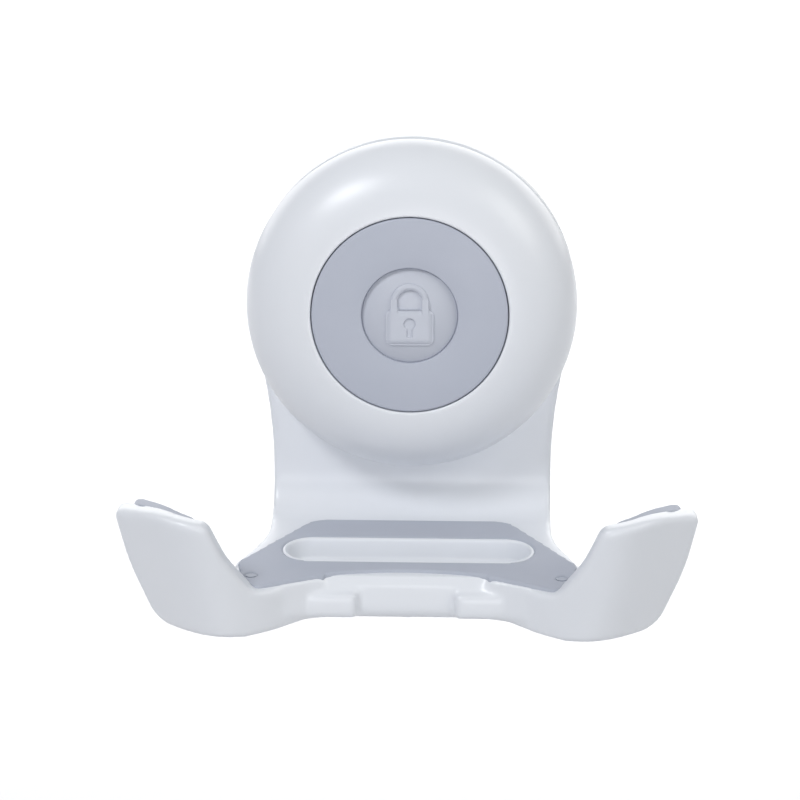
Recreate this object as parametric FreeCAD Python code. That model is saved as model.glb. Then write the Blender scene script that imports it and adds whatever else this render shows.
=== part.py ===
import FreeCAD, Part
import math
import os

# A wall-held padded cradle on a spring-loaded vacuum cup. Millimetres.
# X is to the right, Y towards the wall, Z up. The origin is on the button's axis, in the wall's plane.
# "Out" is a distance from the wall, so a point at out 31 has Y = -31. A "drop" is how far below the axis.

# Overall sizes
button_radius = 28.5
ring_width = 20.5            # the domed ring, from the button to its widest line
ring_out = 16.0              # from the wall to that line
ring_depth = 17.5            # from there to the front face
plate_out = 9.6              # the front face of the round plate behind the ring
shelf_below = 16.9           # from the ring down to the shelf's rear edge
tray_height = 17.9           # from there down to the flat underside
pad_front_out = 59.2         # from the wall to the middle of the shelf pad's front edge
wing_tip_half = 82.6         # half the width over the wings
wing_rise = 17.6             # the wings' highest line, over the shelf's rear edge

# Walls and clearances
plate_wall = 2.6
rim_wall = 3.5
tray_wall = 2.8
dish_wall = 2.4
ring_wall = 2.4
rib = 1.8
rib_space = 22.0
gap = 0.15                   # between pieces that are fastened together
loose_gap = 0.3              # between pieces that move past each other
running_gap = 0.05           # between the plunger and its guide
bite = 0.5                   # how far a piece runs into another that it is moulded with
through = 1.0                # how far a cut runs past the face that it opens
beyond = 200.0               # further than any part of the holder

# Plate and neck
ring_crown = 1.8             # the ring's highest line, inside its bore
ring_undercut = 2.2          # how far the ring draws in where it meets the plate
plate_inset = 0.1            # the plate is this much smaller than the ring
waist_inset = 6.9            # and the neck at its narrowest, on each side
waist_below = 7.0            # from the ring down to there
neck_bow = 1.5               # how far the neck's sides curve in
neck_start = 16.0            # degrees below the horizontal, where the round plate ends
bend_radius = 12.0           # from the plate into the shelf
dish_margin = 5.0            # round the button's flange

# Vacuum cup
cup_inset = 1.7              # the cup is this much smaller than the plate
cup_edge = 2.6               # its thickness where the plate's rim bears on it
cup_lip = 9.6                # the width of its flat sealing lip
cup_lift = 4.6               # the height of the pocket under its middle
cup_skin = 1.1               # the rubber under the stud's foot
cup_cover = 1.4              # the rubber over it
cup_boss_margin = 3.5        # and round it
cup_room = 0.6               # between the cup's boss and the dish over it

# Stud, washer and nut
foot_radius = 9.0
foot_thick = 2.0
shoulder_radius = 4.0
shoulder_rise = 0.8          # over the cup's boss
stud_radius = 2.5
washer_radius = 4.8
washer_thick = 1.0
nut_flats = 8.0
nut_thick = 2.7
nut_room = 0.4               # round the nut, and between the stud and the button

# Button
button_face = 3.0
button_skirt = 2.2
button_flange = 1.8          # how far the skirt's end stands out
button_flange_thick = 2.0
button_round = 0.5
button_travel = 4.0
badge_radius = 14.0
badge_recess = 1.6
badge_thick = 0.8
mark_rise = 0.7

# Plunger, guide and spring
plunger_radius = 6.5
plunger_thick = 2.0
plunger_hat = 4.6            # how deep the hat is
plunger_margin = 3.8         # from the plunger's rim to the button's skirt
guide_wall = 1.6
guide_length = 6.6           # in front of its flange
guide_flange = 0.8
seat_thick = 0.6
spring_wire = 1.6
spring_room = 0.95           # inside the spring
hat_room = 2.3               # outside it
spring_turns = 4.5

# Screws
ring_screw_count = 4
plunger_screw_count = 3
screw_radius = 1.45
screw_head_radius = 2.8
screw_head_thick = 1.6
cross_half_width = 0.45
cross_reach = 1.6
cross_depth = 0.9
ring_screw_bite = 8.0
plunger_screw_bite = 5.0
screw_margin = 2.0           # from a ring screw's head to the plate's rim
rim_margin = 4.0             # from a plunger screw's axis to the plunger's rim
boss_radius = 3.6
key_count = 3
key_width = 3.0

# Shelf pad and the pocket in it
shelf_slope = 6.5            # degrees, down towards the front
pad_thick = 2.0
pad_proud = 0.6
pad_rear_half = 29.0
pad_side_half = 48.8
pad_side_out = 52.0
pad_corner_half = 42.6
pad_corner_reach = 10.0      # in front of the middle of its front edge
pad_bend_half = 22.5         # where the front edge starts to come forward
pad_bend = 30.0              # the radius it does so with
shelf_margin = 1.4           # the white edge left beside the pad
fascia_margin = 0.8          # and in front of it
tray_chamfer = 9.0           # at the tray's lower rear corner
tray_round = 4.0             # the tray's lower edge
pocket_half = 35.7
pocket_radius = 7.6
pocket_out = 42.2
pocket_depth = 5.4
pocket_floor = 1.8
pocket_lip = 1.0
stud_half = 44.2
stud_reach = 1.8             # in front of the middle of the pad's front edge
pad_stud_head = 1.7
pad_stud_head_thick = 1.0
pad_stud_radius = 1.1
pad_stud_bite = 3.0

# Wings
wing_lean_side = 6.5
wing_lean_front = 8.5
wing_thick = 7.0
wing_skin = 4.5              # what is left in front of the pad
wing_below = 1.4             # from the tray's underside down to the wing's lowest line
wing_round = 1.5
wing_pad_proud = 2.0
wing_pad_drop = 0.9          # below the wing's top edge
wing_pad_height = 29.5

# Lugs on the fascia
lug_inner = 14.0
lug_outer = 33.5
lug_reach = 3.0
lug_low = 1.6                # above the tray's underside
lug_height = 7.4
lug_round = 1.4

# Worked out: ring, plate and cup
ring_radius = button_radius + ring_width
face_out = ring_out + ring_depth
plate_radius = ring_radius - plate_inset
plate_back = cup_edge
cup_radius = plate_radius - cup_inset
waist_half = ring_radius - waist_inset
waist_drop = ring_radius + waist_below
foot_back = cup_lift + cup_skin + gap
foot_front = foot_back + foot_thick
cup_boss_out = foot_front + gap + cup_cover
cup_boss_radius = foot_radius + cup_boss_margin
shoulder_out = cup_boss_out + shoulder_rise

# Worked out: dish, button and ring screws
dish_back = cup_boss_out + cup_room
dish_front = dish_back + dish_wall
bore_radius = button_radius + loose_gap
flange_radius = button_radius + button_flange
flange_bore = flange_radius + loose_gap
dish_radius = flange_radius + dish_margin
skirt_end = dish_front + button_travel + 2 * loose_gap
flange_front = skirt_end + button_flange_thick
button_under = face_out - button_face
ring_screw_circle = plate_radius - rim_wall - screw_head_radius - screw_margin

# Worked out: plunger, guide and spring
guide_radius = plunger_radius + running_gap
guide_outer = guide_radius + guide_wall
spring_radius = guide_outer + spring_room + spring_wire / 2
guide_flange_radius = spring_radius + spring_wire
plunger_hat_radius = spring_radius + spring_wire / 2 + hat_room + plunger_thick
plunger_rim_radius = button_radius - button_skirt - plunger_margin
plunger_screw_circle = plunger_rim_radius - rim_margin
hat_front = button_under - nut_room
hat_back = hat_front - plunger_thick
plunger_rim_front = hat_front - plunger_hat
plunger_rim_back = plunger_rim_front - plunger_thick
nut_corner = nut_flats / math.sqrt(3.0)
washer_out = hat_front - nut_room - nut_thick - washer_thick
seat_out = dish_front + guide_flange
spring_start = seat_out + seat_thick + gap
spring_end = hat_back - gap

# Worked out: tray, pad, lugs and wings
slope = math.radians(shelf_slope)
shelf_drop = ring_radius + shelf_below
shelf_rear_out = plate_out + bend_radius * (1 - math.sin(slope))
underside_drop = shelf_drop + tray_height
fascia_out = pad_front_out + fascia_margin
pad_corner_out = pad_front_out + pad_corner_reach
stud_out = pad_front_out + stud_reach
lug_out = fascia_out + lug_reach
lug_bottom_drop = underside_drop - lug_low
lug_top_drop = lug_bottom_drop - lug_height
wing_top_drop = shelf_drop - wing_rise
wing_bottom_drop = underside_drop + wing_below

# A wing's front face at its lowest, in plan, as (half width, out)
wing_plan = [(28.5, fascia_out - 1.0), (41.5, fascia_out + 9.8), (51.5, fascia_out + 12.6),
             (wing_tip_half - 16.6, fascia_out + 5.4), (wing_tip_half + 1.4, fascia_out - 5.6)]


def at(x, out, z):
    return FreeCAD.Vector(x, -out, z)


def rod(radius, near, far, x=0.0, z=0.0):
    return Part.makeCylinder(radius, far - near, at(x, near, z), FreeCAD.Vector(0, -1, 0))


def tube(inner, outer, near, far, x=0.0, z=0.0):
    return rod(outer, near, far, x, z).cut(rod(inner, near - through, far + through, x, z))


def closed_face(edges):
    return Part.Face(Part.Wire(Part.__sortEdges__(edges)))


def polygon(points):
    return Part.Face(Part.makePolygon(points + [points[0]]))


def rounded(corners, place):
    """A flat outline through (across, up, radius) corners, each turned with its radius."""
    edges = []
    ends = []
    for i, (x, y, radius) in enumerate(corners):
        before = corners[i - 1]
        after = corners[(i + 1) % len(corners)]
        here = FreeCAD.Vector(x, y, 0)
        back = (FreeCAD.Vector(before[0], before[1], 0) - here).normalize()
        on = (FreeCAD.Vector(after[0], after[1], 0) - here).normalize()
        half = back.getAngle(on) / 2
        if radius == 0.0:
            ends.append((place(here), place(here)))
            continue
        first = here + back * (radius / math.tan(half))
        last = here + on * (radius / math.tan(half))
        middle = here + (back + on).normalize() * (radius / math.sin(half) - radius)
        edges.append(Part.Arc(place(first), place(middle), place(last)).toShape())
        ends.append((place(first), place(last)))
    for i, (first, last) in enumerate(ends):
        start = ends[i - 1][1]
        if start.distanceToPoint(first) > 1e-6:
            edges.append(Part.makeLine(start, first))
    return closed_face(edges)


def in_plan(point):
    return FreeCAD.Vector(point.x, -point.y, 0)


def from_front(point):
    return FreeCAD.Vector(point.x, 0, point.y)


def on_both_sides(half):
    """A whole outline's corners from its right half's, which run from back to front."""
    return half + [(-x, y, radius) for x, y, radius in reversed(half)]


def spun(profile):
    """A solid of revolution about the button's axis, from (radius, out) points."""
    flat = polygon([at(radius, out, 0) for radius, out in profile])
    return flat.revolve(FreeCAD.Vector(0, 0, 0), FreeCAD.Vector(0, 1, 0), 360)


def mirrored(shape):
    return shape.mirror(FreeCAD.Vector(0, 0, 0), FreeCAD.Vector(1, 0, 0))


def both_sides(shape):
    return shape.fuse(mirrored(shape))


def around(count, first=0.0):
    """Angles spaced evenly about the button's axis, from the top."""
    return [math.radians(first + 360.0 * i / count) for i in range(count)]


def on_circle(radius, turns):
    """The (x, z) places at these angles on a circle about the button's axis."""
    return [(radius * math.sin(turn), radius * math.cos(turn)) for turn in turns]


def box(x0, x1, near, far, z0, z1):
    return Part.makeBox(x1 - x0, far - near, z1 - z0, at(x0, far, z0))


# The shelf's sloped surface


def surface_drop(out):
    """How far below the axis the shelf's surface lies, at a distance from the wall."""
    return shelf_drop + math.tan(slope) * (out - shelf_rear_out)


def slab(low, high):
    """Everything between two planes parallel to the shelf, at these heights over it."""
    layer = Part.makeBox(2 * beyond, 2 * beyond, high - low, FreeCAD.Vector(-beyond, -beyond, low))
    layer.rotate(FreeCAD.Vector(0, 0, 0), FreeCAD.Vector(1, 0, 0), shelf_slope)
    layer.translate(at(0, shelf_rear_out, -shelf_drop))
    return layer


# Outlines


def plate_outline():
    """The plate from the front: a disc on a waisted neck, open below."""
    start = math.radians(neck_start)
    top = (plate_radius * math.cos(start), -plate_radius * math.sin(start))
    low = (waist_half, -waist_drop)
    bow = ((top[0] + low[0]) / 2 - neck_bow, (top[1] + low[1]) / 2)
    bottom = -(shelf_drop + 8.0)
    crown = Part.Arc(at(top[0], 0, top[1]), at(0, 0, plate_radius), at(-top[0], 0, top[1]))
    left = Part.Arc(at(-top[0], 0, top[1]), at(-bow[0], 0, bow[1]), at(-low[0], 0, low[1]))
    right = Part.Arc(at(top[0], 0, top[1]), at(bow[0], 0, bow[1]), at(low[0], 0, low[1]))
    foot = [at(-low[0], 0, low[1]), at(-low[0], 0, bottom), at(low[0], 0, bottom), at(low[0], 0, low[1])]
    edges = [crown.toShape(), left.toShape(), right.toShape()]
    edges += Part.makePolygon(foot).Edges
    return closed_face(edges)


def tray_outline():
    """The tray in plan: the neck's width at the wall, flaring to the wings."""
    side = pad_side_half + shelf_margin
    return rounded(on_both_sides([
        (waist_half, plate_back, 0.0), (waist_half, plate_out + 22.0, 45.0), (side, pad_side_out, 12.0),
        (side - 2.0, pad_corner_out - 2.0, 3.0), (pad_corner_half, pad_corner_out + fascia_margin, 2.0),
        (pad_bend_half, fascia_out, pad_bend)]), in_plan)


def pad_outline():
    """The shelf pad in plan."""
    return rounded(on_both_sides([
        (pad_rear_half, shelf_rear_out + 0.4, 8.0), (pad_side_half, pad_side_out, 3.0),
        (pad_corner_half + 3.8, pad_corner_out - 5.6, 4.0), (pad_corner_half, pad_corner_out, 1.5),
        (pad_bend_half, pad_front_out, pad_bend)]), in_plan)


def stadium(grow):
    """The pocket's outline in plan, grown all round: two half-rounds joined by straight sides."""
    reach = pocket_half - pocket_radius
    radius = pocket_radius + grow
    near = pocket_out - radius
    far = pocket_out + radius
    right = Part.Arc(at(reach, near, 0), at(reach + radius, pocket_out, 0), at(reach, far, 0)).toShape()
    sides = [Part.makeLine(at(-reach, out, 0), at(reach, out, 0)) for out in (near, far)]
    return closed_face([right, mirrored(right)] + sides)


def column(outline):
    """A plan outline carried from far below to far above the shelf."""
    prism = outline.extrude(FreeCAD.Vector(0, 0, beyond))
    prism.translate(FreeCAD.Vector(0, 0, -beyond))
    return prism


def pocket_column(grow):
    return column(stadium(grow))


def across(outline, near, far):
    """An outline seen from the front, carried from one distance out to another."""
    prism = outline.extrude(FreeCAD.Vector(0, near - far, 0))
    prism.translate(FreeCAD.Vector(0, -near, 0))
    return prism


def wing_outline():
    """The right wing from the front."""
    tip = wing_tip_half
    top = -wing_top_drop
    bottom = -wing_bottom_drop
    return rounded([
        (tip, top - 1.4, 2.4), (tip - 3.6, top - 18.0, 60.0), (tip - 11.4, bottom + 1.0, 9.0),
        (45.5, bottom - 0.2, 12.0), (28.0, -underside_drop, 0.0), (28.0, -underside_drop + 11.0, 0.0),
        (43.0, top - 23.1, 5.0), (50.0, top - 12.7, 30.0), (54.6, top - 1.6, 4.0),
        (tip - 14.0, top + 0.6, 26.0)], from_front)


def wing_pad_outline():
    """The right wing's pad from the front, just below the wing's top edge."""
    tip = wing_tip_half
    top = -wing_top_drop - wing_pad_drop
    bottom = top - wing_pad_height
    return rounded([
        (tip - 4.4, top - 0.6, 2.5), (tip - 6.4, top - 14.0, 30.0), (tip - 13.0, bottom + 1.0, 7.0),
        (57.0, bottom, 6.0), (55.2, top - 14.0, 25.0), (58.4, top - 1.8, 3.0),
        (tip - 14.0, top + 0.4, 20.0)], from_front)


def wing_band(front, back):
    """The wing's curved wall, between two depths behind its front face, leaning out as it rises."""
    base = -wing_bottom_drop - 1.0
    height = wing_bottom_drop - wing_top_drop + 2.0
    near = shifted(wing_plan, front, base)
    far = shifted(wing_plan, back, base)[::-1]
    edges = [smooth(near), Part.makeLine(near[-1], far[0]), smooth(far), Part.makeLine(far[-1], near[0])]
    return closed_face(edges).extrude(FreeCAD.Vector(wing_lean_side, -wing_lean_front, height))


def shifted(plan, depth, z):
    """The plan's points moved back by a depth, square to the line through their neighbours."""
    moved = []
    for i, (x, out) in enumerate(plan):
        before = plan[max(i - 1, 0)]
        after = plan[min(i + 1, len(plan) - 1)]
        run = (after[0] - before[0], after[1] - before[1])
        length = math.hypot(*run)
        moved.append(at(x + run[1] / length * depth, out - run[0] / length * depth, z))
    return moved


def smooth(points):
    curve = Part.BSplineCurve()
    curve.interpolate(points)
    return curve.toShape()


# The cradle: plate, tray, wings and lugs in one moulding


def plate():
    outline = plate_outline()
    body = across(outline, plate_back, plate_out)
    body = body.cut(across(outline.makeOffset2D(-rim_wall), plate_back - through, plate_out - plate_wall))
    rim = tube(plate_radius - rim_wall, plate_radius, plate_back, plate_out - bite)
    neck = box(-beyond, beyond, plate_back, plate_out - bite, -shelf_drop, rim_wall / 2 - plate_radius)
    body = body.fuse([rim, neck.common(Part.makeCompound(webs()))])
    body = body.fuse(rod(dish_radius, plate_out - plate_wall, dish_front))
    body = body.cut(rod(dish_radius - dish_wall, plate_back - through, dish_back))
    body = body.cut(rod(guide_outer, dish_back - through, dish_front + through))
    for place in on_circle(ring_screw_circle, around(ring_screw_count, 45.0)):
        body = body.cut(rod(screw_radius + gap, plate_back, plate_out + through, *place))
    return body


def webs():
    """The upright ribs that stiffen the neck and the tray."""
    return [box(x - rib / 2, x + rib / 2, 0, beyond, -beyond, 0) for x in (-rib_space, 0.0, rib_space)]


def tray_side():
    """The tray and its bend from the side, carried across."""
    start = at(0, plate_out, -(shelf_drop - bend_radius * math.cos(slope)))
    turn = (math.pi / 2 - slope) / 2
    centre_out = plate_out + bend_radius
    centre_z = start.z
    middle = at(0, centre_out - bend_radius * math.cos(turn), centre_z - bend_radius * math.sin(turn))
    end = at(0, shelf_rear_out, -shelf_drop)
    front = pad_corner_out + plate_out
    far = at(0, front, -surface_drop(front))
    bottom = -underside_drop
    points = [far, at(0, front, bottom), at(0, plate_back + tray_chamfer, bottom)]
    points += [at(0, plate_back, bottom + tray_chamfer), at(0, plate_back, start.z), start]
    bend = Part.Arc(start, middle, end).toShape()
    edges = Part.makePolygon(points).Edges + [bend, Part.makeLine(end, far)]
    prism = closed_face(edges).extrude(FreeCAD.Vector(2 * beyond, 0, 0))
    prism.translate(FreeCAD.Vector(-beyond, 0, 0))
    return prism


def tray():
    outline = tray_outline()
    body = tray_side().common(column(outline))
    front = at(0, plate_out + tray_wall, 0).y
    lower = [e for e in body.Edges if e.BoundBox.ZMax < bite - underside_drop and e.CenterOfMass.y < front]
    body = body.makeFillet(tray_round, lower)
    inside = column(outline.makeOffset2D(-tray_wall)).common(slab(-beyond, -tray_wall - pad_thick))
    inside = inside.common(box(-beyond, beyond, plate_out + tray_wall, beyond, -beyond, 0))
    well = pocket_column(pocket_floor).common(slab(-pocket_depth - pocket_floor, 0))
    body = body.cut(inside.cut(webs() + [well]))
    return body.fuse(pocket_column(pocket_lip).common(slab(-pad_thick - bite, pad_proud)))


def lug():
    block = box(lug_inner, lug_outer, fascia_out - tray_wall, lug_out, -lug_bottom_drop, -lug_top_drop)
    front = [e for e in block.Edges if abs(e.CenterOfMass.y + lug_out) < 0.01]
    return block.makeFillet(lug_round, [e for e in front if e.CenterOfMass.x < lug_outer - lug_round])


def wing():
    body = wing_band(0.0, wing_thick).common(across(wing_outline(), 0, beyond))
    body = body.makeFillet(wing_round, body.Edges)
    pocket = across(wing_pad_outline().makeOffset2D(gap), 0, beyond)
    return body.cut(wing_band(wing_skin, 2 * wing_thick).common(pocket))


def wing_pad():
    return wing_band(wing_skin, wing_thick + wing_pad_proud).common(across(wing_pad_outline(), 0, beyond))


def pad_recess():
    """What the shelf gives up for its pad, round the pocket's raised lip."""
    recess = column(pad_outline().makeOffset2D(gap)).common(slab(pad_proud - pad_thick, wing_rise))
    return recess.cut(pocket_column(pocket_lip))


def cradle():
    body = plate().fuse([tray(), wing(), mirrored(wing()), both_sides(lug())])
    body = body.cut([pad_recess(), pocket_column(0.0).common(slab(-pocket_depth, wing_rise)), pad_studs(gap)])
    return body.removeSplitter()


# Pads


def shelf_pad():
    body = column(pad_outline()).common(slab(pad_proud - pad_thick, pad_proud))
    return body.cut([pocket_column(pocket_lip + gap), pad_studs(gap)])


def pad_studs(grow):
    """Two push-in studs that hold the pad's front corners, upright in the shelf."""
    top = -surface_drop(stud_out) + pad_proud
    head = Part.makeCylinder(pad_stud_head + grow, pad_stud_head_thick + grow, at(stud_half, stud_out, top))
    head.translate(FreeCAD.Vector(0, 0, -pad_stud_head_thick - grow))
    length = pad_thick + pad_stud_bite + grow
    shank = Part.makeCylinder(pad_stud_radius + grow, length, at(stud_half, stud_out, top - length))
    stud = head.fuse(shank)
    return Part.makeCompound([stud, mirrored(stud)])


# The domed ring


def dome_profile(inset):
    """The ring's curved section in (radius, out), from its widest line to its bore."""
    centre = bore_radius - ring_crown
    wide = ring_radius - centre - inset
    deep = ring_depth - inset
    last = math.acos(ring_crown / wide) if inset == 0.0 else math.pi / 2 * 0.98
    steps = 8
    return [(centre + wide * math.cos(last * i / steps), ring_out + deep * math.sin(last * i / steps))
            for i in range(steps + 1)]


def dome_solid(inset, back):
    """The space inside the dome's section, down to the plate."""
    section = [at(radius, out, 0) for radius, out in dome_profile(inset)]
    curve = smooth(section)
    base = ring_radius - inset - ring_undercut
    corners = [section[-1], at(0, -section[-1].y, 0), at(0, back, 0), at(base, back, 0), section[0]]
    face = closed_face(Part.makePolygon(corners).Edges + [curve])
    return face.revolve(FreeCAD.Vector(0, 0, 0), FreeCAD.Vector(0, 1, 0), 360)


def dome_ring():
    back = plate_out
    filled = dome_solid(0.0, back)
    sleeve = tube(flange_bore, flange_bore + ring_wall, dish_front, face_out)
    collar = tube(bore_radius, flange_bore + ring_wall, flange_front + gap, face_out)
    shell = filled.cut(dome_solid(ring_wall, back - through))
    shell = shell.fuse([sleeve.common(filled), collar.common(filled)])
    shell = shell.cut(rod(bore_radius, back - through, face_out + through))
    for place in on_circle(ring_screw_circle, around(ring_screw_count, 45.0)):
        post = rod(boss_radius, back, face_out, *place).common(dome_solid(ring_wall / 2, back - through))
        shell = shell.fuse(post)
        shell = shell.cut(rod(screw_radius, back - through, back + ring_screw_bite + bite, *place))
    for turn in around(key_count):
        shell = shell.fuse(key(0.0, turn))
    shell = shell.cut(rod(dish_radius + gap, back - through, dish_front))
    return shell.removeSplitter()


def key(grow, turn):
    """A rib that stops the button turning, or the notch that it runs in."""
    half = key_width / 2 + grow
    bar = box(-half, half, dish_front, flange_front, bore_radius - grow, flange_bore + bite)
    bar.rotate(FreeCAD.Vector(0, 0, 0), FreeCAD.Vector(0, 1, 0), math.degrees(turn))
    return bar


def ring_screws():
    places = on_circle(ring_screw_circle, around(ring_screw_count, 45.0))
    length = plate_wall + ring_screw_bite
    return Part.makeCompound([screw(plate_out - plate_wall, length, *place) for place in places])


def screw(seat, length, x, z):
    """A pan-head screw driven outwards, with a cross recess in its head."""
    under = seat - screw_head_thick
    arm = cross_half_width
    low = under - through
    high = under + cross_depth
    upright = box(x - arm, x + arm, low, high, z - cross_reach, z + cross_reach)
    level = box(x - cross_reach, x + cross_reach, low, high, z - arm, z + arm)
    head = rod(screw_head_radius, under, seat, x, z).cut([upright, level])
    return head.fuse(rod(screw_radius, seat, seat + length, x, z))


# The button and what moves with it


def push_button():
    inner = button_radius - button_skirt
    body = rod(button_radius, skirt_end, face_out)
    body = body.cut(rod(inner, skirt_end - through, button_under))
    body = body.fuse(tube(inner, flange_radius, skirt_end, flange_front))
    front = [e for e in body.Edges if abs(e.CenterOfMass.y + face_out) < 0.01]
    body = body.makeFillet(button_round, front)
    body = body.cut(rod(badge_radius, face_out - badge_recess, face_out + through))
    hat = rod(plunger_hat_radius + gap, plunger_rim_front - through, button_under)
    for place in on_circle(plunger_screw_circle, around(plunger_screw_count)):
        body = body.fuse(rod(boss_radius, plunger_rim_front, button_under + bite, *place).cut(hat))
        hole_end = plunger_rim_front + plunger_screw_bite
        body = body.cut(rod(screw_radius, plunger_rim_front - through, hole_end, *place))
    for turn in around(key_count):
        body = body.cut(key(loose_gap, turn))
    return body.removeSplitter()


def button_badge():
    """A thin disc in the button's recess, with a raised padlock."""
    floor = face_out - badge_recess
    face = floor + badge_thick
    raised = face + mark_rise
    shoulder = 1.4
    lock = box(-5.4, 5.4, floor, raised, -6.8, shoulder)
    lock = lock.makeFillet(1.4, [e for e in lock.Edges if abs(e.tangentAt(e.FirstParameter).y) > 0.9])
    bow_inner = 2.7
    bow_outer = 4.3
    bow_drop = shoulder + 1.6
    bow = tube(bow_inner, bow_outer, floor, raised, 0.0, bow_drop)
    bow = bow.cut(box(-bow_outer, bow_outer, floor - through, raised + through, -bow_outer, bow_drop))
    legs = both_sides(box(bow_inner, bow_outer, floor, raised, shoulder - bite, bow_drop))
    eye = rod(1.3, face, raised + through, 0.0, -1.9)
    slit = box(-0.6, 0.6, face, raised + through, -4.8, -1.9)
    mark = lock.fuse([bow, legs]).cut([eye, slit])
    return rod(badge_radius - gap, floor, face).fuse(mark).removeSplitter()


def plunger():
    """The carrier between the button and the stud: a hat with a tube that slides in the guide."""
    hole = stud_radius + gap
    inner = plunger_hat_radius - plunger_thick
    well = nut_corner + nut_room
    body = spun([
        (hole, shoulder_out), (plunger_radius, shoulder_out), (plunger_radius, hat_back), (inner, hat_back),
        (inner, plunger_rim_back), (plunger_rim_radius, plunger_rim_back),
        (plunger_rim_radius, plunger_rim_front), (plunger_hat_radius, plunger_rim_front),
        (plunger_hat_radius, hat_front), (well, hat_front), (well, washer_out), (hole, washer_out)])
    for place in on_circle(plunger_screw_circle, around(plunger_screw_count)):
        body = body.cut(rod(screw_radius + gap, plunger_rim_back, plunger_rim_front, *place))
    return body


def plunger_screws():
    places = on_circle(plunger_screw_circle, around(plunger_screw_count))
    length = plunger_thick + plunger_screw_bite - bite
    return Part.makeCompound([screw(plunger_rim_back, length, *place) for place in places])


def cup_stud():
    body = rod(foot_radius, foot_back, foot_front).fuse(rod(shoulder_radius, foot_front, shoulder_out))
    return body.fuse(rod(stud_radius, shoulder_out, hat_front - gap))


def stud_washer():
    return tube(stud_radius + gap, washer_radius, washer_out, washer_out + washer_thick)


def stud_nut():
    start = washer_out + washer_thick
    corners = [at(nut_corner * math.sin(a), start, nut_corner * math.cos(a)) for a in around(6)]
    body = polygon(corners).extrude(FreeCAD.Vector(0, -nut_thick, 0))
    return body.cut(rod(stud_radius, start, start + nut_thick))


# Guide, spring and cup


def guide_bush():
    body = tube(guide_radius, guide_outer - gap, dish_back, seat_out + guide_length)
    return body.fuse(tube(guide_radius, guide_flange_radius, dish_front, seat_out)).removeSplitter()


def spring_seat():
    return tube(guide_outer, guide_flange_radius, seat_out, seat_out + seat_thick)


def return_spring():
    length = spring_end - spring_start - spring_wire
    helix = Part.makeHelix(length / spring_turns, length, spring_radius)
    start = FreeCAD.Vector(spring_radius, 0, 0)
    along = FreeCAD.Vector(0, 2 * math.pi * spring_radius, length / spring_turns)
    section = Part.Wire(Part.makeCircle(spring_wire / 2, start, along))
    body = Part.Wire(helix.Edges).makePipeShell([section], True, True)
    body.rotate(FreeCAD.Vector(0, 0, 0), FreeCAD.Vector(1, 0, 0), 90)
    body.translate(at(0, spring_start + spring_wire / 2, 0))
    return body


def suction_cup():
    """The soft disc: flat lip, domed pocket and a boss moulded round the stud's foot."""
    rim = cup_radius - cup_lip
    hole = shoulder_radius + gap
    foot = foot_radius + gap
    foot_top = foot_front + gap
    return spun([
        (0, cup_lift), (cup_boss_radius - 0.5, cup_lift), (rim, 0), (cup_radius, 0),
        (cup_radius, cup_edge - 1.0), (cup_radius - 1.0, cup_edge), (rim + 2.0, cup_edge),
        (0.6 * rim + 0.4 * cup_boss_radius, cup_edge + 2.6), (cup_boss_radius + 2.5, cup_boss_out - 1.2),
        (cup_boss_radius, cup_boss_out), (hole, cup_boss_out), (hole, foot_top), (foot, foot_top),
        (foot, foot_back - gap), (0, foot_back - gap)])


pieces = {
    "cradle": cradle,
    "shelf_pad": shelf_pad,
    "pad_studs": lambda: pad_studs(0.0),
    "wing_pad_right": wing_pad,
    "wing_pad_left": lambda: mirrored(wing_pad()),
    "dome_ring": dome_ring,
    "ring_screws": ring_screws,
    "push_button": push_button,
    "button_badge": button_badge,
    "plunger": plunger,
    "plunger_screws": plunger_screws,
    "cup_stud": cup_stud,
    "stud_washer": stud_washer,
    "stud_nut": stud_nut,
    "guide_bush": guide_bush,
    "spring_seat": spring_seat,
    "return_spring": return_spring,
    "suction_cup": suction_cup,
}

os.makedirs("parts", exist_ok=True)
for node, make in pieces.items():
    shape = make()
    print(node, len(shape.Solids), "solids", shape.isValid(), round(shape.Volume, 1))
    shape.exportStep("parts/" + node + ".step")
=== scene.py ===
import math

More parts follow.
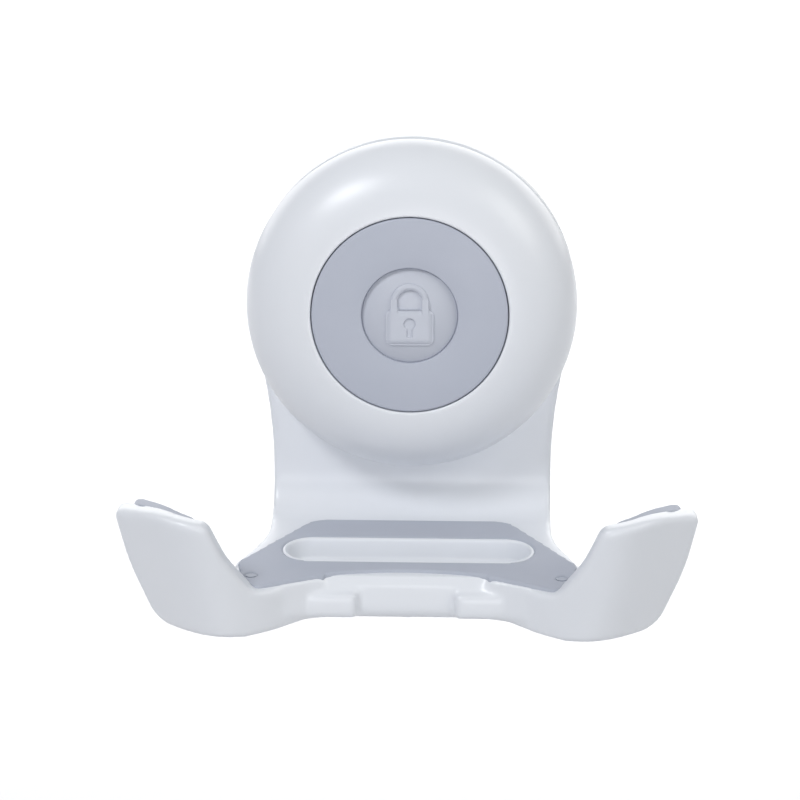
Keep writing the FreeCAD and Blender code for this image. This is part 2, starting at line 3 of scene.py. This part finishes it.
import bpy
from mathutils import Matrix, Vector


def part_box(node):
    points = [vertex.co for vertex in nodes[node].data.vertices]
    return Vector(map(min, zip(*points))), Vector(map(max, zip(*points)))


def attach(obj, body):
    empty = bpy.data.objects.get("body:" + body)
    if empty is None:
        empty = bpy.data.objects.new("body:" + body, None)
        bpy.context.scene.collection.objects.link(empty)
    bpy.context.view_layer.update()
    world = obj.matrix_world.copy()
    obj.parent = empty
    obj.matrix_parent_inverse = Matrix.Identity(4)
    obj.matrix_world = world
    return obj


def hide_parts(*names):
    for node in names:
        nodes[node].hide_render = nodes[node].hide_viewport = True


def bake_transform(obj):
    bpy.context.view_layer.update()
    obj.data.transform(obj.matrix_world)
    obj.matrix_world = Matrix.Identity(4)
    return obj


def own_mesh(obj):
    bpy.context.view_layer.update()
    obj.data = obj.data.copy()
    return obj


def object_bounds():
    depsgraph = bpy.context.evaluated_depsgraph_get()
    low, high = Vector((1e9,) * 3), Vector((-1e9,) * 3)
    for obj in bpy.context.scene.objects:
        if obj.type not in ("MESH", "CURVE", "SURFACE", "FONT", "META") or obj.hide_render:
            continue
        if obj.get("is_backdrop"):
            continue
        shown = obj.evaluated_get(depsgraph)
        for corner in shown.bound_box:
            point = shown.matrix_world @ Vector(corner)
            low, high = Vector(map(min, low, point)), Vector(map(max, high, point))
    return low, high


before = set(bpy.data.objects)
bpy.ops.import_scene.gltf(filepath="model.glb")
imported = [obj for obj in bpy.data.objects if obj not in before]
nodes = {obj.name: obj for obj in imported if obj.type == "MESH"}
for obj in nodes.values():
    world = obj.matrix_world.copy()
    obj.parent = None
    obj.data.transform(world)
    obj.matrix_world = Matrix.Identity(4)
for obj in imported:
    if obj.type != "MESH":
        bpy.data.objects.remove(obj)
cad_low, cad_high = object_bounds()
mm = 0.001


# Vacuum cup: a soft disc that seals on the wall, pulled up in the middle by the stud in its boss.
# Clear, slightly milky polyurethane with a glossy face, moulded in one shot round the stud's foot.
def only(piece):
    bpy.ops.object.select_all(action="DESELECT")
    piece.select_set(True)
    bpy.context.view_layer.objects.active = piece


def edit(piece, select="SELECT"):
    only(piece)
    bpy.ops.object.mode_set(mode="EDIT")
    bpy.ops.mesh.select_all(action=select)


def done():
    bpy.ops.object.mode_set(mode="OBJECT")


def settle(piece):
    """Moves a piece's place, turn and size into its mesh."""
    only(piece)
    bpy.ops.object.transform_apply(location=True, rotation=True, scale=True)


def join(piece, *others):
    only(piece)
    for other in others:
        other.select_set(True)
    bpy.ops.object.join()


def smooth(piece, degrees):
    only(piece)
    bpy.ops.object.shade_smooth_by_angle(angle=math.radians(degrees))


def turned(name, profile, closed=True):
    """A piece turned on the button's axis: a ring is pulled along the (radius, out) profile, in
    millimetres, and back to its start where the profile is closed."""
    sides = 144
    radius, out = profile[0]
    bpy.ops.object.select_all(action="DESELECT")
    bpy.ops.mesh.primitive_circle_add(vertices=sides, radius=radius * mm, location=(0, -out * mm, 0),
                                      rotation=(math.pi / 2, 0, 0))
    piece = bpy.context.object
    piece.name = name
    settle(piece)
    edit(piece)
    for before, after in zip(profile, profile[1:] + profile[:1] * closed):
        bpy.ops.mesh.extrude_edges_move(TRANSFORM_OT_translate={"value": (0, (before[1] - after[1]) * mm, 0)})
        share = after[0] / before[0]
        bpy.ops.transform.resize(value=(share, 1, share), center_override=(0, 0, 0))
    bpy.ops.mesh.select_all(action="SELECT")
    bpy.ops.mesh.remove_doubles(threshold=0.01 * mm)
    bpy.ops.mesh.normals_make_consistent(inside=False)
    done()
    return piece


def new_material(name):
    material = bpy.data.materials.new(name)
    material.use_nodes = True
    return material, material.node_tree.nodes


def grain(material, scale, height, detail=3.0):
    """A fine even texture, as spark erosion leaves in a mould, at this many grains a metre."""
    tree = material.node_tree
    place = tree.nodes.new("ShaderNodeTexCoord")
    noise = tree.nodes.new("ShaderNodeTexNoise")
    noise.inputs["Scale"].default_value = scale
    noise.inputs["Detail"].default_value = detail
    bump = tree.nodes.new("ShaderNodeBump")
    bump.inputs["Strength"].default_value = 0.6
    bump.inputs["Distance"].default_value = height
    tree.links.new(place.outputs["Object"], noise.inputs["Vector"])
    tree.links.new(noise.outputs["Fac"], bump.inputs["Height"])
    tree.links.new(bump.outputs["Normal"], tree.nodes["Principled BSDF"].inputs["Normal"])
    return place


def uneven(material, place, scale, low, high):
    """A slow drift of the roughness over the surface, from low to high."""
    tree = material.node_tree
    noise = tree.nodes.new("ShaderNodeTexNoise")
    noise.inputs["Scale"].default_value = scale
    noise.inputs["Detail"].default_value = 4.0
    spread = tree.nodes.new("ShaderNodeMapRange")
    spread.inputs["From Min"].default_value = 0.3
    spread.inputs["From Max"].default_value = 0.7
    spread.inputs["To Min"].default_value = low
    spread.inputs["To Max"].default_value = high
    tree.links.new(place.outputs["Object"], noise.inputs["Vector"])
    tree.links.new(noise.outputs["Fac"], spread.inputs["Value"])
    tree.links.new(spread.outputs["Result"], tree.nodes["Principled BSDF"].inputs["Roughness"])


def tinted(material, place, scale, first, second):
    """A faint change of colour over the surface, between two near colours."""
    tree = material.node_tree
    noise = tree.nodes.new("ShaderNodeTexNoise")
    noise.inputs["Scale"].default_value = scale
    noise.inputs["Detail"].default_value = 5.0
    ramp = tree.nodes.new("ShaderNodeValToRGB")
    ramp.color_ramp.elements[0].position = 0.3
    ramp.color_ramp.elements[1].position = 0.7
    ramp.color_ramp.elements[0].color = (*first, 1.0)
    ramp.color_ramp.elements[1].color = (*second, 1.0)
    tree.links.new(place.outputs["Object"], noise.inputs["Vector"])
    tree.links.new(noise.outputs["Fac"], ramp.inputs["Fac"])
    tree.links.new(ramp.outputs["Color"], tree.nodes["Principled BSDF"].inputs["Base Color"])


def span(node):
    """A turned CAD node's radius, and how far from the wall it starts and ends, in millimetres."""
    low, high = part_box(node)
    return high.x / mm, -high.y / mm, -low.y / mm


def clear_polyurethane():
    material, parts = new_material("milky_polyurethane")
    shader = parts["Principled BSDF"]
    shader.inputs["IOR"].default_value = 1.5
    shader.inputs["Transmission Weight"].default_value = 0.55
    shader.inputs["Coat Weight"].default_value = 0.2
    place = grain(material, scale=260.0, height=0.03 * mm)
    tinted(material, place, scale=30.0, first=(0.66, 0.69, 0.72), second=(0.72, 0.75, 0.77))
    uneven(material, place, scale=45.0, low=0.14, high=0.26)
    return material


cup_radius, _, boss_out = span("suction_cup")
pole = 0.01
edge_out = 2.6
stud_hole = 4.15
foot_hole = 9.15
foot_low, foot_high = 5.7, 8.0
cup = turned("vacuum_cup", [
    (cup_radius - 0.4, 0.0), (cup_radius, 0.5), (cup_radius, 1.7), (cup_radius - 0.3, 2.3),
    (cup_radius - 1.0, edge_out), (40.2, edge_out), (35.0, 3.5), (27.6, 5.2), (20.0, 6.9), (15.6, 8.0),
    (14.0, 8.5), (13.0, boss_out - 0.3), (12.2, boss_out), (stud_hole + 0.25, boss_out),
    (stud_hole, boss_out - 0.3), (stud_hole, foot_high), (foot_hole, foot_high), (foot_hole, foot_low),
    (pole, foot_low),
], closed=False)
grooves = [(radius + step, deep) for radius in (44.1, 41.1)
           for step, deep in ((0.5, 0.0), (0.2, 0.25), (-0.2, 0.25), (-0.5, 0.0))]
under = turned("vacuum_cup_under", [(cup_radius - 0.4, 0.0)] + grooves + [
    (38.0, 0.0), (36.0, 0.35), (28.0, 1.8), (20.0, 3.25), (14.0, 4.3), (11.0, 4.6), (pole, 4.6),
], closed=False)
join(cup, under)
edit(cup)
bpy.ops.mesh.remove_doubles(threshold=0.03 * mm)
bpy.ops.mesh.normals_make_consistent(inside=False)
done()
smooth(cup, 40.0)
cup.data.materials.append(clear_polyurethane())
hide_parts("suction_cup")
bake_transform(cup)


# Stud, washer and nut: they join the cup's middle to the plunger. The stud's foot is inside the cup's boss.
# Zinc-plated steel. Each is the CAD solid, merged so that its round faces shade smoothly.
def merged(node, name):
    """A copy of a CAD solid, with the points that its facets share merged."""
    piece = bpy.data.objects.new(name, nodes[node].data.copy())
    bpy.context.scene.collection.objects.link(piece)
    edit(piece)
    bpy.ops.mesh.remove_doubles(threshold=0.002 * mm)
    done()
    return piece


def copied(node, name):
    """A merged copy of a CAD solid that stands for it and has no finish yet."""
    piece = merged(node, name)
    smooth(piece, 30.0)
    piece.data.materials.clear()
    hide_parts(node)
    return piece


def zinc_steel():
    material, parts = new_material("zinc_plated_steel")
    parts["Principled BSDF"].inputs["Metallic"].default_value = 1.0
    place = grain(material, scale=900.0, height=0.01 * mm)
    tinted(material, place, scale=160.0, first=(0.72, 0.73, 0.74), second=(0.63, 0.64, 0.66))
    uneven(material, place, scale=300.0, low=0.28, high=0.42)
    return material


zinc = zinc_steel()
for node, name in (("cup_stud", "stud"), ("stud_washer", "washer"), ("stud_nut", "nut")):
    piece = copied(node, name)
    piece.data.materials.append(zinc)
    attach(piece, "button")


# Guide bush and plunger: a sleeve in the plate's dish, and the hat-shaped carrier whose tube slides in it.
# Both are natural acetal, slightly waxy, from the CAD solids because their running fit is exact.
def natural_acetal():
    material, parts = new_material("natural_acetal")
    parts["Principled BSDF"].inputs["IOR"].default_value = 1.48
    place = grain(material, scale=1500.0, height=0.01 * mm)
    tinted(material, place, scale=60.0, first=(0.76, 0.76, 0.72), second=(0.80, 0.80, 0.77))
    uneven(material, place, scale=120.0, low=0.3, high=0.42)
    return material


acetal = natural_acetal()
for node, name, body in (("guide_bush", "guide", "holder"), ("plunger", "plunger_hat", "button")):
    piece = copied(node, name)
    piece.data.materials.append(acetal)
    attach(piece, body)


# Screws and spring seat: four screws from behind into the ring, three from the plunger into the button, and
# a thin washer under the spring. All zinc-plated steel, from the CAD solids.
for node, name, body, finish in (
        ("ring_screws", "screws_into_ring", "holder", "screw_steel"),
        ("plunger_screws", "screws_into_button", "button", "screw_steel"),
        ("spring_seat", "seat_washer", "holder", "stud_steel")):
    piece = copied(node, name)
    piece.data.materials.append(zinc)
    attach(piece, body)


# Return spring: it lifts the middle of the cup off the wall until the button is pressed.
# Bright round wire, wound as a helix from one round section.
def apply_modifier(piece, kind, **settings):
    only(piece)
    modifier = piece.modifiers.new(kind.lower(), kind)
    for name, value in settings.items():
        setattr(modifier, name, value)
    bpy.ops.object.modifier_apply(modifier=modifier.name)


def spring_wire():
    material, parts = new_material("spring_wire")
    parts["Principled BSDF"].inputs["Metallic"].default_value = 1.0
    place = grain(material, scale=2000.0, height=0.005 * mm)
    tinted(material, place, scale=200.0, first=(0.52, 0.52, 0.53), second=(0.60, 0.60, 0.61))
    uneven(material, place, scale=400.0, low=0.18, high=0.3)
    return material


coil_reach, coil_start, coil_end = span("return_spring")
wire = 0.8
wire_sides = 14
turns = 4.5
turn_sides = 40
bpy.ops.object.select_all(action="DESELECT")
bpy.ops.mesh.primitive_circle_add(vertices=wire_sides, radius=wire * mm, fill_type="NGON",
                                  rotation=(math.pi / 2, 0, 0), location=((coil_reach - wire) * mm, 0, 0))
spring = bpy.context.object
spring.name = "spring"
settle(spring)
apply_modifier(spring, "SCREW", axis="Z", angle=turns * 2 * math.pi, steps=int(turns * turn_sides),
               render_steps=int(turns * turn_sides), screw_offset=(coil_end - coil_start - 2 * wire) * mm)
edit(spring)
bpy.ops.mesh.remove_doubles(threshold=0.001 * mm)
bpy.ops.mesh.normals_make_consistent(inside=False)
done()
spring.rotation_euler = (math.pi / 2, 0, 0)
spring.location = (0, -(coil_start + wire) * mm, 0)
settle(spring)
smooth(spring, 50.0)
spring.data.materials.append(spring_wire())
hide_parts("return_spring")
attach(spring, "holder")
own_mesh(spring)


# Cradle: one moulding in cool white satin ABS: round plate, waisted neck, shelf, two wings and two lugs.
# The mat's recess is filled where the mat hides it, and a shoulder is cut above the lugs. Then it is skinned
# in even quads and eased, for a moulding's soft corners, and the pocket's liner is set in.
def recast(piece, voxel, passes):
    """Skins a piece again in even quads of this many millimetres, and eases it."""
    apply_modifier(piece, "REMESH", mode="VOXEL", voxel_size=voxel * mm)
    apply_modifier(piece, "SMOOTH", factor=0.5, iterations=passes)


def reopen(piece):
    """Opens a piece for editing with what is selected in it already."""
    only(piece)
    bpy.ops.object.mode_set(mode="EDIT")


def pick(piece, wanted):
    """Opens a piece for editing with only the wanted points selected."""
    edit(piece, "DESELECT")
    done()
    for vertex in piece.data.vertices:
        vertex.select = wanted(vertex)
    reopen(piece)


def cuboid(size, place=(0.0, 0.0, 0.0), turn=(0.0, 0.0, 0.0)):
    """A box of this size, in millimetres. Other pieces are cut with it or joined to it."""
    bpy.ops.object.select_all(action="DESELECT")
    bpy.ops.mesh.primitive_cube_add(size=1.0)
    piece = bpy.context.object
    piece.scale = [value * mm for value in size]
    piece.rotation_euler = turn
    piece.location = [value * mm for value in place]
    settle(piece)
    return piece


def round_corners(piece, axis, radius, segments):
    """Rounds the four edges of a cuboid that run along one axis: 0, 1 or 2."""
    edit(piece, "DESELECT")
    done()
    for edge in piece.data.edges:
        start, end = (piece.data.vertices[i].co[axis] for i in edge.vertices)
        edge.select = abs(start - end) > 0.5 * mm
    reopen(piece)
    bpy.ops.mesh.bevel(offset=radius * mm, segments=segments)
    done()


def carve(piece, cutter):
    """Cuts the cutter's shape out of a piece, and removes the cutter."""
    apply_modifier(piece, "BOOLEAN", operation="DIFFERENCE", object=cutter, solver="EXACT")
    bpy.data.objects.remove(cutter)


def white_abs():
    material, parts = new_material("satin_white_abs")
    parts["Principled BSDF"].inputs["IOR"].default_value = 1.52
    place = grain(material, scale=2600.0, height=0.005 * mm)
    tinted(material, place, scale=12.0, first=(0.765, 0.79, 0.835), second=(0.78, 0.80, 0.84))
    uneven(material, place, scale=70.0, low=0.29, high=0.35)
    return material


abs_white = white_abs()
proud = 0.6
under_mat = 0.2
cradle = copied("cradle", "cradle_shell")
filling = merged("shelf_pad", "recess_filling")
edit(filling)
bpy.ops.transform.translate(value=(0, 0, -(proud + under_mat) * mm))
done()
join(cradle, filling)
apply_modifier(cradle, "REMESH", mode="VOXEL", voxel_size=0.45 * mm)

shoulder_tilt = math.radians(77.8)
shoulder_out = 62.96
shoulder_height = -69.76
shoulder = cuboid((50.0, 9.2, 8.0))
round_corners(shoulder, axis=2, radius=4.0, segments=8)
shoulder.rotation_euler = (shoulder_tilt, 0, 0)
shoulder.location = (0, -shoulder_out * mm, shoulder_height * mm)
settle(shoulder)
carve(cradle, shoulder)
recast(cradle, voxel=0.82, passes=4)

shelf_slope = math.radians(6.5)
liner_half = 28.1
liner_out = 42.2
liner_height = -68.4
liner = turned("pocket_liner", [
    (pole, -5.2), (6.0, -5.2), (6.5, -5.0), (6.75, -4.5), (7.35, -0.4), (7.42, 0.2), (7.6, 0.52),
    (8.0, 0.7), (8.4, 0.62), (8.62, 0.4), (8.7, 0.0), (8.7, -1.4), (8.0, -5.6), (6.0, -6.2), (pole, -6.2),
], closed=False)
for side in (1, -1):
    pick(liner, lambda vertex: side * vertex.co.x > 0.005 * mm)
    bpy.ops.transform.translate(value=(side * liner_half * mm, 0, 0))
    done()
liner.rotation_euler = (shelf_slope - math.pi / 2, 0, 0)
liner.location = (0, -liner_out * mm, liner_height * mm)
settle(liner)
join(cradle, liner)
smooth(cradle, 60.0)
cradle.data.materials.clear()
cradle.data.materials.append(abs_white)
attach(cradle, "holder")


# Domed ring: the white bezel over the plate, with the bore that the button slides in.
# The same satin ABS. A shell with a sleeve inside, three keys in the sleeve and four posts for the screws.
def arc(centre, reach, start, end, steps):
    """Points of an ellipse's arc in (radius, out), with its angles in degrees from the wall's plane."""
    turns = [math.radians(start + (end - start) * i / steps) for i in range(steps + 1)]
    return [(centre[0] + reach[0] * math.cos(t), centre[1] + reach[1] * math.sin(t)) for t in turns]


def around(radius, out, angle):
    """The place, in millimetres, at this radius from the button's axis and this far out from the wall."""
    return radius * math.sin(angle), -out, radius * math.cos(angle)


ring_radius, plate_out, ring_face = span("dome_ring")
flange_radius, skirt_out, button_face = span("push_button")
bore = flange_radius - 1.5
flange_bore = flange_radius + 0.3
sleeve = flange_bore + 2.4
widest_out = 16.0
crown = (bore - 1.8, widest_out)
reach = (ring_radius - crown[0], ring_face - widest_out)
wall = 2.4
dish_out = 12.4
ledge_out = 19.15
lip = 0.5
lip_drop = 0.12
dome = turned("domed_ring",
              [(ring_radius - 2.5, plate_out), (ring_radius - 2.0, plate_out + 0.3),
               (ring_radius - 0.7, widest_out - 3.4), (ring_radius - 0.1, widest_out - 1.2)]
              + arc(crown, reach, start=0.0, end=83.0, steps=30)
              + arc((bore + lip, ring_face - lip_drop - lip), (lip, lip), start=90.0, end=180.0, steps=4)
              + [(bore, ledge_out), (flange_bore, ledge_out), (flange_bore, dish_out), (sleeve, dish_out)]
              + arc(crown, (reach[0] - wall, reach[1] - wall), start=72.0, end=0.0, steps=16)
              + [(ring_radius - wall - 2.2, plate_out)])
post_circle = 40.6
post_radius = 3.6
post_length = 15.5
for turn in range(4):
    place = around(post_circle, plate_out + post_length / 2, math.radians(45 + 90 * turn))
    bpy.ops.object.select_all(action="DESELECT")
    bpy.ops.mesh.primitive_cylinder_add(vertices=32, radius=post_radius * mm, depth=post_length * mm,
                                        rotation=(math.pi / 2, 0, 0),
                                        location=[value * mm for value in place])
    post = bpy.context.object
    settle(post)
    join(dome, post)
key_size = (3.0, 6.6, 2.3)
key_circle = bore + key_size[2] / 2
key_out = 15.7
key_angles = [math.radians(120 * turn) for turn in range(3)]
for angle in key_angles:
    join(dome, cuboid(key_size, around(key_circle, key_out, angle), (0, angle, 0)))
smooth(dome, 40.0)
dome.data.materials.append(abs_white)
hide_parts("dome_ring")
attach(dome, "holder")


# Button: the grey disc that is pressed to seal the cup. Its skirt and flange run inside the ring.
# Light blue-grey ABS with a finer, softer texture than the white. Turned, then notched for the ring's keys.
def grey_abs(name, first, second, rough):
    material, parts = new_material(name)
    parts["Principled BSDF"].inputs["IOR"].default_value = 1.5
    place = grain(material, scale=4200.0, height=0.012 * mm)
    tinted(material, place, scale=25.0, first=first, second=second)
    uneven(material, place, scale=90.0, low=rough, high=rough + 0.08)
    return material


badge_radius, badge_floor, mark_out = span("button_badge")
recess = badge_radius + 0.15
button_radius = flange_radius - 1.8
inner = button_radius - 2.2
under_face = button_face - 3.0
flange_out = 19.0
brim = 0.35
rounding = 0.6
fillet = 0.8
button = turned("press_button",
                [(pole, badge_floor), (recess - 0.3, badge_floor), (recess, badge_floor + 0.2)]
                + arc((recess + brim, button_face - brim), (brim, brim), start=180.0, end=90.0, steps=4)
                + [(recess + 5.0, button_face), (button_radius - rounding, button_face)]
                + arc((button_radius - rounding, button_face - rounding), (rounding, rounding),
                      start=70.0, end=0.0, steps=4)
                + [(button_radius, flange_out), (flange_radius, flange_out), (flange_radius, skirt_out),
                   (inner, skirt_out), (inner, under_face - fillet), (inner - fillet, under_face),
                   (pole, under_face)], closed=False)
notch_size = (3.6, 7.2, 3.2)
notch_circle = bore + 1.3
notch_out = 15.9
for angle in key_angles:
    carve(button, cuboid(notch_size, around(notch_circle, notch_out, angle), (0, angle, 0)))
button_grey = grey_abs("satin_grey_abs", (0.455, 0.485, 0.565), (0.475, 0.50, 0.58), 0.44)
smooth(button, 40.0)
button.data.materials.append(button_grey)
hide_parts("push_button")
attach(button, "button")


# Badge: a thin disc in the button's recess with a raised padlock, the sign for pressing to lock.
# The same grey ABS, a shade lighter. The padlock is a block, a half ring and two legs, melted together.
badge_face = badge_floor + 0.5
badge = turned("badge_disc", [
    (pole, badge_floor), (badge_radius, badge_floor), (badge_radius, badge_face - 0.2),
    (badge_radius - 0.2, badge_face), (pole, badge_face),
], closed=False)
mark_depth = mark_out - badge_floor - 0.1
mark_middle = (badge_floor + mark_out) / 2
mark_voxel = 0.14
mark_size = 1.3
bow_radius, bow_wire, bow_height = 3.5, 0.8, 3.0


def block(width, height, x, z):
    return cuboid((width, mark_depth, height), (x, -mark_middle, z))


padlock = block(width=10.8, height=8.2, x=0.0, z=-2.7)
round_corners(padlock, axis=1, radius=1.4, segments=6)
bpy.ops.object.select_all(action="DESELECT")
bpy.ops.mesh.primitive_torus_add(major_radius=bow_radius * mm, minor_radius=bow_wire * mm, major_segments=64,
                                 minor_segments=16, rotation=(math.pi / 2, 0, 0),
                                 location=(0, -mark_middle * mm, bow_height * mm))
bow = bpy.context.object
settle(bow)
edit(bow)
bpy.ops.transform.resize(value=(1, mark_depth / (2 * bow_wire), 1), center_override=(0, -mark_middle * mm, 0))
bpy.ops.mesh.bisect(plane_co=(0, 0, bow_height * mm), plane_no=(0, 0, 1), clear_inner=True, use_fill=True)
done()
join(padlock, bow)
for side in (1, -1):
    join(padlock, block(width=2 * bow_wire, height=3.2, x=side * bow_radius, z=1.9))
keyhole_foot = block(width=1.2, height=3.0, x=0.0, z=-3.4)
keyhole_radius = 1.3
keyhole_height = -1.9
keyhole_depth = 0.9
bpy.ops.object.select_all(action="DESELECT")
bpy.ops.mesh.primitive_cylinder_add(vertices=32, radius=keyhole_radius * mm, depth=mark_depth * mm,
                                    rotation=(math.pi / 2, 0, 0),
                                    location=(0, -mark_middle * mm, keyhole_height * mm))
keyhole_eye = bpy.context.object
settle(keyhole_eye)
apply_modifier(padlock, "REMESH", mode="VOXEL", voxel_size=mark_voxel * mm)
for cutter in (keyhole_foot, keyhole_eye):
    edit(cutter)
    bpy.ops.transform.translate(value=(0, -keyhole_depth * mm, 0))
    done()
    carve(padlock, cutter)
recast(padlock, voxel=mark_voxel, passes=1)
edit(padlock)
bpy.ops.transform.resize(value=(mark_size, 1.0, mark_size), center_override=(0, -mark_middle * mm, 0))
done()
join(badge, padlock)
smooth(badge, 50.0)
badge.data.materials.append(grey_abs("badge_grey_abs", (0.535, 0.56, 0.635), (0.555, 0.58, 0.65), 0.36))
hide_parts("button_badge")
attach(badge, "button")


# Shelf pad: a soft grey mat let into the shelf round the pocket, a little proud, held by two studs.
# Matt thermoplastic rubber with a dry, fine-grained skin. All its edges are rounded, and the middle of its
# front edge is a shallow hollow curve.
def grey_rubber():
    material, parts = new_material("soft_grey_rubber")
    shader = parts["Principled BSDF"]
    shader.inputs["Sheen Weight"].default_value = 0.12
    shader.inputs["Sheen Roughness"].default_value = 0.5
    shader.inputs["Specular IOR Level"].default_value = 0.3
    place = grain(material, scale=3200.0, height=0.03 * mm, detail=4.0)
    tinted(material, place, scale=40.0, first=(0.435, 0.465, 0.54), second=(0.465, 0.49, 0.56))
    uneven(material, place, scale=110.0, low=0.62, high=0.75)
    return material


arc_radius = 88.7
arc_near = 56.3
arc_half = 23.5
bpy.ops.object.select_all(action="DESELECT")
bpy.ops.mesh.primitive_cylinder_add(vertices=720, radius=arc_radius * mm, depth=60 * mm,
                                    location=(0, -(arc_near + arc_radius) * mm, -70 * mm))
front_arc = bpy.context.object
settle(front_arc)
for side in (-1, 1):
    edit(front_arc)
    bpy.ops.mesh.bisect(plane_co=(side * arc_half * mm, 0, 0), plane_no=(side, 0, 0), clear_outer=True,
                        use_fill=True)
    done()

rubber = grey_rubber()
pad = copied("shelf_pad", "shelf_mat")
carve(pad, front_arc)
pad.data.materials.clear()
recast(pad, voxel=0.4, passes=4)
apply_modifier(pad, "DISPLACE", strength=0.16 * mm, mid_level=0.0)
smooth(pad, 60.0)
pad.data.materials.append(rubber)
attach(pad, "holder")


# Pad studs: two push-in nylon studs through the mat's front corners, their heads flush with it.
# A slightly darker grey than the mat, from the CAD solid.
def grey_nylon():
    material, parts = new_material("grey_nylon")
    place = grain(material, scale=2500.0, height=0.01 * mm)
    tinted(material, place, scale=90.0, first=(0.38, 0.41, 0.48), second=(0.42, 0.45, 0.52))
    uneven(material, place, scale=200.0, low=0.45, high=0.55)
    return material


studs = copied("pad_studs", "mat_studs")
studs.data.materials.append(grey_nylon())
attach(studs, "holder")


# Wing pads: soft grey cushions let into the rear faces of the wings, which the thing held leans on.
# The same rubber as the mat, fuller in the middle than at the edge.
set_back = 0.3
rise = 1.0
fullness = 0.9
full_reach = 11.0
outward = 0.3
for node, name, side in (("wing_pad_right", "right_wing_cushion", 1),
                         ("wing_pad_left", "left_wing_cushion", -1)):
    cushion = copied(node, name)
    recast(cushion, voxel=0.5, passes=6)
    edit(cushion)
    bpy.ops.transform.translate(value=(0, set_back * mm, rise * mm))
    done()
    low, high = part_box(node)
    height = (low.z + high.z) / 2
    rear = max(cushion.data.vertices, key=lambda vertex: vertex.co.y - abs(vertex.co.z - height)).index
    pick(cushion, lambda vertex: vertex.index == rear)
    bpy.ops.transform.translate(value=(side * outward * mm, fullness * mm, 0), use_proportional_edit=True,
                                proportional_edit_falloff="SMOOTH", proportional_size=full_reach * mm)
    done()
    smooth(cushion, 60.0)
    cushion.data.materials.append(rubber)
    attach(cushion, "holder")


# Stage: a large pale floor below the holder, an even pale surround, a soft lamp from the upper left, weaker
# ones from the right and the front, and a very large one over the floor behind.
def lamp(name, place, aim, size, power, colour=(1.0, 1.0, 1.0)):
    light = bpy.data.lights.new(name, "AREA")
    light.color = colour
    light.shape = "DISK"
    light.size = size
    light.energy = power
    stand = bpy.data.objects.new(name, light)
    bpy.context.scene.collection.objects.link(stand)
    stand.location = place
    stand.rotation_euler = (Vector(aim) - Vector(place)).to_track_quat("-Z", "Y").to_euler()


floor_size = 80.0
floor_drop = 1.0
bpy.ops.object.select_all(action="DESELECT")
bpy.ops.mesh.primitive_plane_add(size=floor_size, location=(0, 0, cad_low.z - floor_drop))
floor = bpy.context.object
floor.name = "floor"
pale, parts = new_material("pale_floor")
parts["Principled BSDF"].inputs["Base Color"].default_value = (0.68, 0.68, 0.69, 1.0)
parts["Principled BSDF"].inputs["Roughness"].default_value = 0.95
floor.data.materials.append(pale)
floor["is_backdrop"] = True

cool = (0.97, 0.98, 1.0)
warm = (1.0, 1.0, 0.95)
holder = (0, 0, 0)
far_floor = (0, 16.5, 0)
surround = bpy.data.worlds.new("surround")
bpy.context.scene.world = surround
surround.use_nodes = True
surround.node_tree.nodes["Background"].inputs["Color"].default_value = (*cool, 1.0)
surround.node_tree.nodes["Background"].inputs["Strength"].default_value = 0.36
lamp("key", place=(-0.8, -1.05, 1.15), aim=holder, size=0.5, power=12.0, colour=cool)
lamp("right", place=(1.2, -0.8, 0.9), aim=holder, size=0.9, power=6.5, colour=warm)
lamp("front", place=(0.1, -1.9, -0.1), aim=holder, size=0.9, power=7.5, colour=cool)
lamp("behind", place=(0, 16.5, 1.6), aim=far_floor, size=30.0, power=4000.0)
bpy.context.scene.view_settings.view_transform = "Standard"


# Camera: at the front, a little to the right and above, and aimed between the disc and the shelf.
# A long lens from far back keeps the holder's proportions calm.
aim = Vector((-3.5, -14.0, -29.7)) * mm
view_turn = math.radians(2.2)
view_rise = math.radians(13.7)
view_distance = 0.7
back = Vector((math.sin(view_turn) * math.cos(view_rise), -math.cos(view_turn) * math.cos(view_rise),
               math.sin(view_rise)))
camera = bpy.data.objects.new("camera", bpy.data.cameras.new("camera"))
bpy.context.scene.collection.objects.link(camera)
camera.location = aim + back * view_distance
camera.rotation_euler = (-back).to_track_quat("-Z", "Y").to_euler()
camera.data.lens = 105.0
camera.data.sensor_width = 36.0
bpy.context.scene.camera = camera

low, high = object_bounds()
